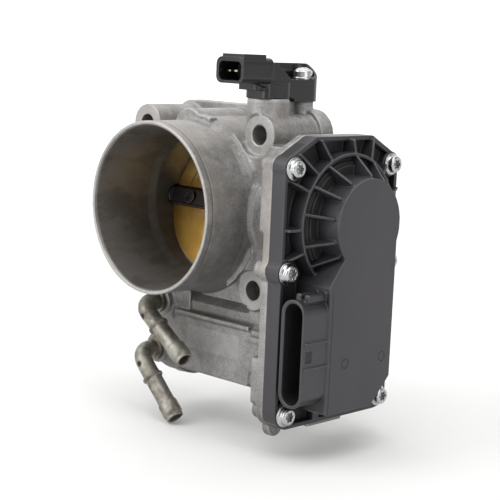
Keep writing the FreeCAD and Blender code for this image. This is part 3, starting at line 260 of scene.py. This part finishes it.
def coverPlastic():
    # places are in mm, as in the casting
    look = {"base": (0.014, 0.0138, 0.016), "grey": (0.038, 0.0345, 0.0405), "edge": (0.12, 0.12, 0.125),
            "line": (0.004, 0.004, 0.0045),
            "facePlane": (86.4, 87.0), "hubCentre": (-20.0, 0.0), "hubRadius": (27.9, 27.3),
            "hubDepth": (78.0, 75.5),
            "wellWidth": (-20.0, 34.0, 33.2), "wellTop": (33.6, 32.8), "wellBottom": (-84.2, -83.4),
            "wellDepth": (71.0, 69.5),
            "socketWidth": (81.15, 5.5, 5.0), "socketHeight": (-51.0, 22.0, 21.4),
            "socketMouth": (-57.5, -56.0), "socketDepth": (-43.0, -44.0),
            "witnessLine": (-41.0, 0.34, 0.14), "witnessTop": (-26.0, -27.0),
            "ejectorMarks": [(-31.7, -57.1), (-7.9, -57.1)], "ejectorRadius": 2.0,
            "wellShadeAmount": 0.8, "edgeAmount": 0.6, "creaseShadeAmount": 0.5, "lineAmount": 0.75,
            "skinDepth": 0.00007}
    shade = Shade("coverPlastic")
    x, y, z = shade.split()
    flow = shade.noise(34, 4, 0.6, at=shade.stretched((1.0, 1.0, 0.25)))
    cloud = shade.noise(120, 5, 0.65)
    speck = shade.noise(2300, 2, 0.6)
    face = shade.step(x, *look["facePlane"])
    # painted shade in the wells between the ribs and in the socket
    within = shade.band(y, *look["wellWidth"]) * shade.step(z, *look["wellTop"])
    within = within * shade.step(z, *look["wellBottom"])
    hub = shade.step(shade.reach(y, z, *look["hubCentre"]), *look["hubRadius"])
    hub = hub * shade.step(x, *look["hubDepth"])
    wellShade = (shade.step(x, *look["wellDepth"]) * within + hub).clipped()
    socket = shade.band(x, *look["socketWidth"]) * shade.band(z, *look["socketHeight"])
    socket = socket * shade.step(y, *look["socketMouth"]) * shade.step(y, *look["socketDepth"])
    wellShade = (wellShade + socket).clipped()
    # mottled tone, with the flat face of the box painted lighter as a painted sheen
    tone = (shade.step(flow, 0.35, 0.7) * 0.4 + cloud * 0.25 + face * 0.45).clipped()
    base = shade.mix(tone, look["base"], look["grey"])
    base = shade.mix(wellShade * look["wellShadeAmount"], base, look["line"])
    # painted highlight on the convex edges, painted shade in the concave creases
    base = shade.mix(shade.edges(0.515, 0.58) * look["edgeAmount"], base, look["edge"])
    base = shade.mix(shade.edges(0.48, 0.43) * look["creaseShadeAmount"], base, look["line"])
    # moulding witness line and two ejector marks on the flat face of the box
    marks = shade.band(y, *look["witnessLine"]) * shade.step(z, *look["witnessTop"])
    for centre in look["ejectorMarks"]:
        marks = marks + shade.ring(y, z, *centre, look["ejectorRadius"])
    marks = (marks * face * face).clipped()
    base = shade.mix(marks * look["lineAmount"], base, look["line"])
    rough = 0.40 + (flow - 0.5) * 0.16 + (speck - 0.5) * 0.10 + (cloud - 0.5) * 0.12 + wellShade * 0.2
    skin = speck + shade.noise(700, 3, 0.6) * 0.8 - marks * 4.0
    return shade.finish(Base_Color=base, Roughness=rough, Normal=shade.bump(skin, look["skinDepth"], 0.5))


def sensorPlastic():
    look = {"black": (0.0045, 0.0046, 0.0054), "grey": (0.012, 0.012, 0.014), "edge": (0.085, 0.085, 0.09)}
    shade = Shade("sensorPlastic")
    flow = shade.noise(70, 4, 0.6)
    speck = shade.noise(2600, 2, 0.6)
    base = shade.mix(flow, look["black"], look["grey"])
    # painted highlight on the convex edges
    base = shade.mix(shade.edges(0.52, 0.60) * 0.5, base, look["edge"])
    rough = 0.30 + (speck - 0.5) * 0.15 + (flow - 0.5) * 0.12
    return shade.finish(Base_Color=base, Roughness=rough, Normal=shade.bump(speck, 0.00005, 0.5))


def turnedBrass():
    look = {"brass": (0.66, 0.38, 0.082), "bright": (0.90, 0.62, 0.20), "tarnish": (0.27, 0.125, 0.034),
            "worn": (0.98, 0.78, 0.36), "scribe": (0.06, 0.03, 0.012),
            "rimRadius": (25.0, 31.6), "shaftBand": (13.0, 5.0), "scribeRadius": (23.5, 0.5, 0.15),
            "scribeHeight": (4.0, 8.0), "ringPitch": 9.0, "metal": 0.82}
    shade = Shade("turnedBrass")
    x, y, z = shade.split()
    radial = (x * x + z * z).root()
    cloud = shade.noise(60, 5, 0.6)
    turning = {"W": radial * look["ringPitch"], "Scale": 1.0, "Detail": 3.0}
    rings = shade.node("ShaderNodeTexNoise", {"noise_dimensions": "1D"}, turning)
    base = shade.mix(shade.step(cloud, 0.35, 0.7), look["brass"], look["bright"])
    worn = shade.step(shade.noise(70, 4, 0.6), 0.54, 0.66)
    base = shade.mix(worn * 0.45, base, look["worn"])
    # tarnish near the rim, beside the shaft and in patches
    base = shade.mix(shade.step(radial, *look["rimRadius"]) * 0.5, base, look["tarnish"])
    base = shade.mix(shade.step(abs(z), *look["shaftBand"]) * 0.45, base, look["tarnish"])
    base = shade.mix(shade.step(shade.noise(45, 4, 0.5), 0.50, 0.70) * 0.55, base, look["tarnish"])
    scribed = shade.band(radial, *look["scribeRadius"]) * shade.step(z, *look["scribeHeight"])
    base = shade.mix(scribed * 0.7, base, look["scribe"])
    rough = 0.25 + cloud * 0.16 + (rings - 0.5) * 0.06
    return shade.finish(Base_Color=base, Roughness=rough, Metallic=look["metal"],
                        Normal=shade.bump(rings, 0.00003, 0.35))


def blackSteel():
    look = {"black": (0.026, 0.024, 0.023), "grey": (0.065, 0.060, 0.056), "edge": (0.36, 0.35, 0.34)}
    shade = Shade("blackSteel")
    cloud = shade.noise(220, 4, 0.6)
    turned = shade.noise(900, 3, 0.6, at=shade.stretched((6.0, 1.0, 1.0)))
    base = shade.mix(cloud, look["black"], look["grey"])
    # painted highlight on the convex edges
    base = shade.mix(shade.edges(0.52, 0.58) * 0.75, base, look["edge"])
    return shade.finish(Base_Color=base, Roughness=0.34 + turned * 0.2, Metallic=0.9,
                        Normal=shade.bump(turned, 0.00003, 0.5))


def zincScrew():
    look = {"dull": (0.36, 0.365, 0.37), "bright": (0.62, 0.625, 0.63), "recess": (0.05, 0.05, 0.055)}
    shade = Shade("zincScrew")
    cloud = shade.noise(350, 4, 0.6)
    scratch = shade.noise(1800, 3, 0.7, at=shade.stretched((1.0, 3.0, 1.0)))
    base = shade.mix(cloud, look["dull"], look["bright"])
    # painted shade in the drive recess and concave corners
    base = shade.mix(shade.edges(0.49, 0.43) * 0.9, base, look["recess"])
    return shade.finish(Base_Color=base, Roughness=0.16 + scratch * 0.2, Metallic=1.0,
                        Normal=shade.bump(scratch, 0.00002, 0.4))


def pipeSteel():
    # dimple centres are places in metres, radii and the root are in mm
    look = {"light": (0.35, 0.335, 0.298), "olive": (0.185, 0.172, 0.145), "rust": (0.092, 0.066, 0.045),
            "dimpleShade": (0.014, 0.012, 0.010), "creaseShade": (0.06, 0.045, 0.03), "edge": (0.52, 0.49, 0.42),
            "dimpleCentres": [(-0.0153, -0.0543, -0.0524), (-0.0166, -0.0545, -0.0747)], "dimpleRadius": (1.0, 1.9),
            "rustyRoot": (-44.0, -39.5)}
    shade = Shade("pipeSteel")
    x, y, z = shade.split()
    cloud = shade.noise(150, 5, 0.68)
    fine = shade.noise(1500, 3, 0.6)
    base = shade.mix(shade.step(cloud, 0.36, 0.64), look["olive"], look["light"])
    grimeAndShade = shade.step(shade.noise(85, 4, 0.62), 0.50, 0.66)
    base = shade.mix(grimeAndShade * 0.6, base, look["rust"])
    base = shade.mix(shade.step(y, *look["rustyRoot"]) * 0.5, base, look["rust"])
    # painted shade in the concave creases, painted highlight on the convex edges
    base = shade.mix(shade.edges(0.49, 0.44) * 0.7, base, look["creaseShade"])
    base = shade.mix(shade.edges(0.53, 0.58) * 0.4, base, look["edge"])
    # dimples on the outside of both bends, darkened with painted shade
    upper, lower = (shade.spot(centre, *look["dimpleRadius"]) for centre in look["dimpleCentres"])
    pits = upper + lower
    base = shade.mix((pits * 0.92).clipped(), base, look["dimpleShade"])
    rough = 0.36 + cloud * 0.22 + grimeAndShade * 0.22
    height = fine * 0.9 + cloud * 1.6 - pits * 5.0
    return shade.finish(Base_Color=base, Roughness=rough, Metallic=0.9,
                        Normal=shade.bump(height, 0.00008, 0.6))


def groundSteel(name, tint, rough):
    shade = Shade(name)
    cloud = shade.noise(240, 4, 0.6)
    lines = shade.noise(600, 2, 0.6, at=shade.stretched((4.0, 1.0, 1.0)))
    dark = tuple(channel * 0.72 for channel in tint)
    base = shade.mix(cloud, dark, tint)
    return shade.finish(Base_Color=base, Roughness=rough + lines * 0.16, Metallic=0.95,
                        Normal=shade.bump(lines, 0.00001, 0.3))


def mouldedPlain(name, tint, rough, grain=900):
    shade = Shade(name)
    flow = shade.noise(90, 4, 0.6)
    speck = shade.noise(grain, 3, 0.6)
    dark = tuple(channel * 0.7 for channel in tint)
    base = shade.mix(flow, dark, tint)
    return shade.finish(Base_Color=base, Roughness=rough + (speck - 0.5) * 0.2,
                        Normal=shade.bump(speck, 0.00005, 0.5))


def boardLacquer():
    look = {"mask": (0.01, 0.09, 0.045), "track": (0.02, 0.16, 0.07)}
    shade = Shade("boardLacquer")
    tracks = shade.step(shade.cells(420), 0.42, 0.5)
    base = shade.mix(tracks, look["mask"], look["track"])
    return shade.finish(Base_Color=base, Roughness=0.25 + shade.noise(500) * 0.1,
                        Normal=shade.bump(tracks, 0.00003, 0.4))


materials = {
    "cast_aluminium": castAluminium(),
    "cover_plastic": coverPlastic(),
    "sensor_plastic": sensorPlastic(),
    "plate_brass": turnedBrass(),
    "shaft_steel": blackSteel(),
    "screw_zinc": zincScrew(),
    "pipe_steel": pipeSteel(),
    "bearing_steel": groundSteel("bearingSteel", (0.50, 0.51, 0.52), 0.30),
    "spring_steel": groundSteel("springSteel", (0.38, 0.38, 0.40), 0.26),
    "motor_steel": groundSteel("motorSteel", (0.42, 0.43, 0.45), 0.30),
    "core_laminations": groundSteel("coreLaminations", (0.20, 0.20, 0.21), 0.38),
    "copper_wire": groundSteel("copperWire", (0.66, 0.30, 0.13), 0.24),
    "terminal_tin": groundSteel("terminalTin", (0.70, 0.64, 0.46), 0.22),
    "gear_nylon": mouldedPlain("gearNylon", (0.74, 0.72, 0.64), 0.44),
    "magnet_ferrite": mouldedPlain("magnetFerrite", (0.06, 0.06, 0.065), 0.62, 2200),
    "carbon": mouldedPlain("carbonBrush", (0.035, 0.035, 0.035), 0.66, 2600),
    "seal_rubber": mouldedPlain("sealRubber", (0.022, 0.022, 0.022), 0.58, 1600),
    "board_green": boardLacquer(),
}
slotOf = {part["node"]: part["material_slot"] for part in frame["record"]["subparts"]}
for nodeName, node in frame["nodes"].items():
    node.data.materials.clear()
    node.data.materials.append(materials[slotOf[nodeName]])
print("materials ready")


def bakedCopy(source, name, modifiers):
    # a new mesh object made from a CAD node through a stack of modifiers
    piece = bpy.data.objects.new(name, source.data.copy())
    scene.collection.objects.link(piece)
    for kind, settings in modifiers:
        modifier = piece.modifiers.new(kind.lower(), kind)
        for key, value in settings.items():
            setattr(modifier, key, value)
    bpy.context.view_layer.update()
    result = bpy.data.meshes.new_from_object(piece.evaluated_get(bpy.context.evaluated_depsgraph_get()))
    piece.modifiers.clear()
    piece.data = result
    piece.data.name = name
    return piece


def dressed(piece, nodeName):
    # material, smooth shading, the body that it rides and the CAD node that it stands for
    piece.data.materials.clear()
    piece.data.materials.append(materials[slotOf[nodeName]])
    piece.data.shade_smooth()
    bodies = frame["record"]["behaviour"]["bodies"]
    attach(piece, next(name for name, members in bodies.items() if nodeName in members))
    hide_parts(nodeName)
    return piece


def softened(nodeName, name, voxel, rounds):
    # the CAD solid with the small radii that moulding, casting or rolling leaves on every edge
    size = voxel * 1.0
    remesh = {"mode": "VOXEL", "voxel_size": size * mm, "use_smooth_shade": True}
    stack = [("REMESH", remesh), ("SMOOTH", {"factor": 0.5, "iterations": rounds})]
    return dressed(bakedCopy(frame["nodes"][nodeName], name, stack), nodeName)


softEdges = {  # CAD node: name of the piece, voxel in mm, rounds of smoothing
    "throttle_housing": ("castHousing", 0.46, 3),
    "gear_cover": ("gearCoverShell", 0.27, 2),
    "pressure_sensor": ("sensorShell", 0.22, 2),
    "cover_screws": ("coverScrewSet", 0.16, 2),
    "sensor_screw": ("sensorScrewHead", 0.14, 2),
    "upper_coolant_pipe": ("upperPipe", 0.26, 3),
    "lower_coolant_pipe": ("lowerPipe", 0.26, 3),
    "throttle_shaft": ("shaftBar", 0.28, 2),
    "plate_screws": ("plateScrewSet", 0.14, 2),
}
for nodeName, (pieceName, voxel, rounds) in softEdges.items():
    piece = softened(nodeName, pieceName, voxel, rounds)
    print("made", pieceName, len(piece.data.polygons), "faces")

shot = {"azimuth": 44.355, "elevation": 8.754, "roll": 2.422, "lens": 97.19, "sensor": 36,
        "place": (440.66, -451.95, 73.29)}  # degrees and mm
paper = {"white": (0.62, 0.62, 0.615), "wash": (0.61, 0.61, 0.60), "glow": 0.08, "farGlow": 0.62,
         "glowStart": 420.0, "glowEnd": 1300.0, "front": -7.0, "flatTo": -1.6, "bendFrom": 0.55,
         "bendRadius": 0.9, "bendStep": 5, "top": 2.4, "halfWidth": 6.0}
lights = {  # size in metres, power in watts
    "keyBox": {"size": (0.7, 0.7), "power": 5.6, "place": (-0.45, -0.75, 0.75), "aim": (0, -0.02, 0)},
    "fillBox": {"size": (0.5, 0.9), "power": 2.6, "place": (0.95, -0.15, 0.35), "aim": (0.05, -0.02, 0)},
    "topBox": {"size": (0.9, 0.9), "power": 8.0, "place": (0.28, -0.22, 0.98), "aim": (0, 0, 0)},
    "mouthBox": {"size": (0.6, 0.6), "power": 2.8, "place": (-0.20, -0.8, 0.10), "aim": (0, -0.02, 0)},
    "backBox": {"size": (1.6, 0.8), "power": 9.0, "place": (-0.4, 0.4, 1.2), "aim": (-0.95, 0.95, 0.2)},
}
worldStrength = 0.40


def floorPaper():
    shade = Shade("floorPaper")
    wash = shade.noise(3, 2, 0.5)
    tint = shade.mix(wash * 0.1, paper["white"], paper["wash"])
    x, y, z = shade.split()
    far = shade.step((x * x + y * y).root(), paper["glowStart"], paper["glowEnd"])
    glow = shade.mix(far, (paper["glow"],) * 3, (paper["farGlow"],) * 3)
    return shade.finish(Base_Color=tint, Roughness=0.8, Emission_Color=glow, Emission_Strength=1.0)


def buildFloor():
    # a paper sweep: flat under the part, then a smooth rise behind it, square to the camera
    level = cadBox[0][2]
    turn = math.radians(shot["azimuth"])
    across = Vector((math.cos(turn), math.sin(turn), 0))
    away = Vector((-math.sin(turn), math.cos(turn), 0))
    start, radius = paper["bendFrom"], paper["bendRadius"]
    profile = [(paper["front"], 0.0), (paper["flatTo"], 0.0)]
    for degrees in range(0, 91, paper["bendStep"]):
        angle = math.radians(degrees)
        profile.append((start + radius * math.sin(angle), radius - radius * math.cos(angle)))
    profile.append((start + radius, paper["top"]))
    points = []
    for reach, rise in profile:
        for side in (-paper["halfWidth"], paper["halfWidth"]):
            points.append(away * reach + across * side + Vector((0, 0, level + rise)))
    faces = [(2 * i, 2 * i + 1, 2 * i + 3, 2 * i + 2) for i in range(len(profile) - 1)]
    mesh = bpy.data.meshes.new("floor")
    mesh.from_pydata(points, [], faces)
    mesh.shade_smooth()
    mesh.materials.append(floorPaper())
    floor = bpy.data.objects.new("floor", mesh)
    scene.collection.objects.link(floor)


def buildLights():
    world = bpy.data.worlds.new("studio")
    world.use_nodes = True
    background = world.node_tree.nodes["Background"]
    background.inputs["Color"].default_value = (1, 1, 1, 1)
    background.inputs["Strength"].default_value = worldStrength
    scene.world = world
    for name, box in lights.items():
        data = bpy.data.lights.new(name, "AREA")
        data.shape = "RECTANGLE"
        data.size, data.size_y = box["size"]
        data.energy = box["power"]
        light = bpy.data.objects.new(name, data)
        light.location = box["place"]
        beam = Vector(box["aim"]) - Vector(box["place"])
        light.rotation_euler = beam.to_track_quat("-Z", "Y").to_euler()
        scene.collection.objects.link(light)


def buildCamera():
    azimuth, elevation, roll = (math.radians(shot[key]) for key in ("azimuth", "elevation", "roll"))
    level = math.cos(elevation)
    back = Vector((math.sin(azimuth) * level, -math.cos(azimuth) * level, math.sin(elevation)))
    right = (-back).cross(Vector((0, 0, 1))).normalized()
    up = right.cross(-back)
    across = right * math.cos(roll) + up * math.sin(roll)
    rise = up * math.cos(roll) - right * math.sin(roll)
    data = bpy.data.cameras.new("camera")
    data.lens = shot["lens"]
    data.sensor_width = shot["sensor"]
    data.clip_start = 0.01
    camera = bpy.data.objects.new("camera", data)
    matrix = Matrix((across, rise, back)).transposed().to_4x4()
    matrix.translation = Vector(shot["place"]) * mm
    camera.matrix_world = matrix
    scene.collection.objects.link(camera)
    scene.camera = camera


buildFloor()
buildLights()
buildCamera()
scene.view_settings.view_transform = "Standard"
print("stage ready")
